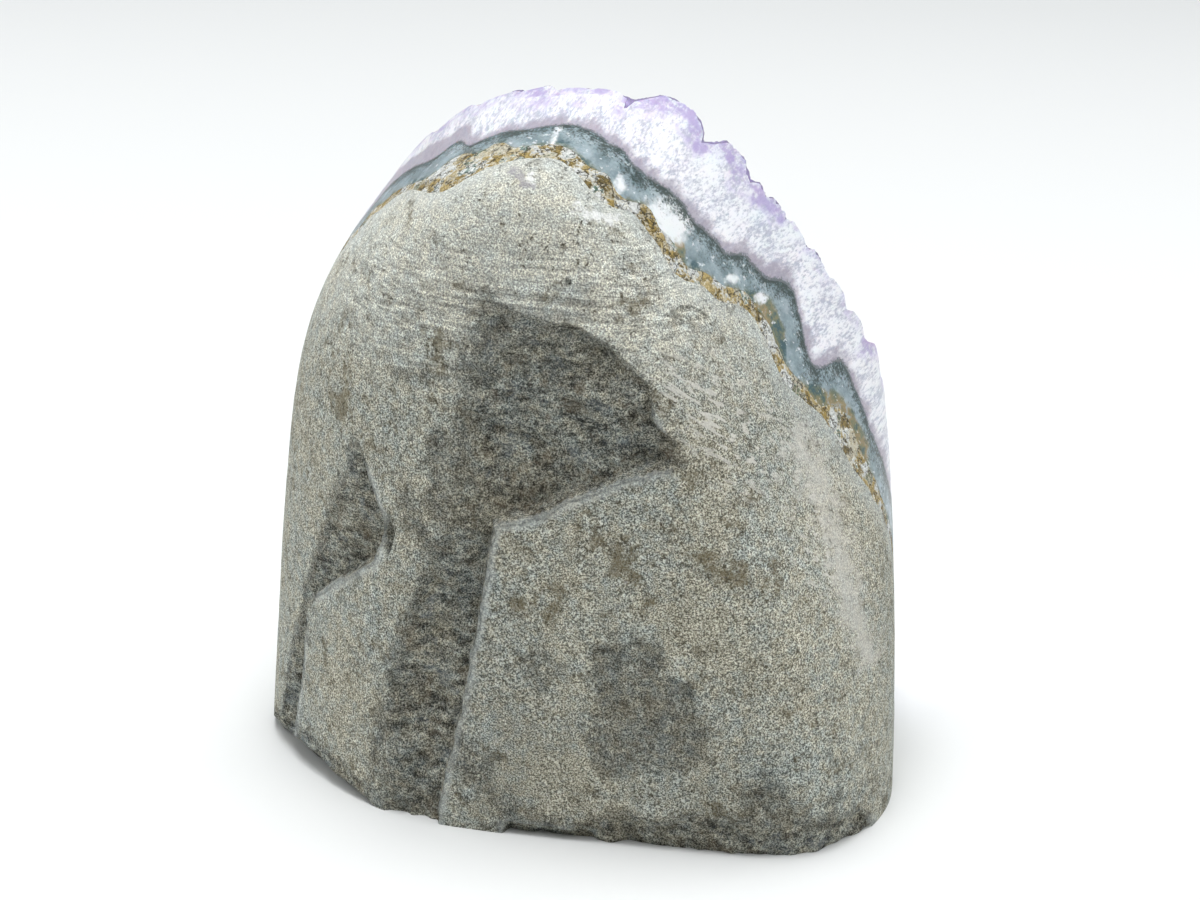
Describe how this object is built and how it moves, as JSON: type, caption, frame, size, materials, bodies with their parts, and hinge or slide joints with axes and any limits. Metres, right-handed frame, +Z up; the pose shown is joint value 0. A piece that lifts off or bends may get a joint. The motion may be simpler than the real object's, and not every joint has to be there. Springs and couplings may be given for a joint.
{
  "type": "amethyst cluster with cut base",
  "caption": "Free-standing amethyst cluster: a ground basalt block with a flat cut base, a chalcedony band and a front crust of milky quartz ending in amethyst points.",
  "frame": {"origin": "under the middle of the stone's bounding box, on the plane of the cut base", "axes": "+Z up, -Y out of the ground basalt back, +Y out of the crystal front, +X to the right when the basalt back is looked at"},
  "size_m": [0.1038, 0.0742, 0.1082],
  "materials": {
    "basalt": "fine-grained grey basalt, ground matte with faint sanding lines; darker and rough where it broke",
    "stained_rind": "crumbly ochre and gold-brown rind with blue-green celadonite specks, ground flush",
    "chalcedony": "waxy grey-green chalcedony, cloudy, smooth and softly glossy where ground",
    "amethyst": "milky white comb quartz that clears into see-through lilac to violet points; glassy faces, polished rim"
  },
  "bodies": {
    "root": {"basalt_matrix": "basalt", "celadonite_rind": "stained_rind", "chalcedony_band": "chalcedony", "amethyst_crust": "amethyst"}
  },
  "joints": []
}
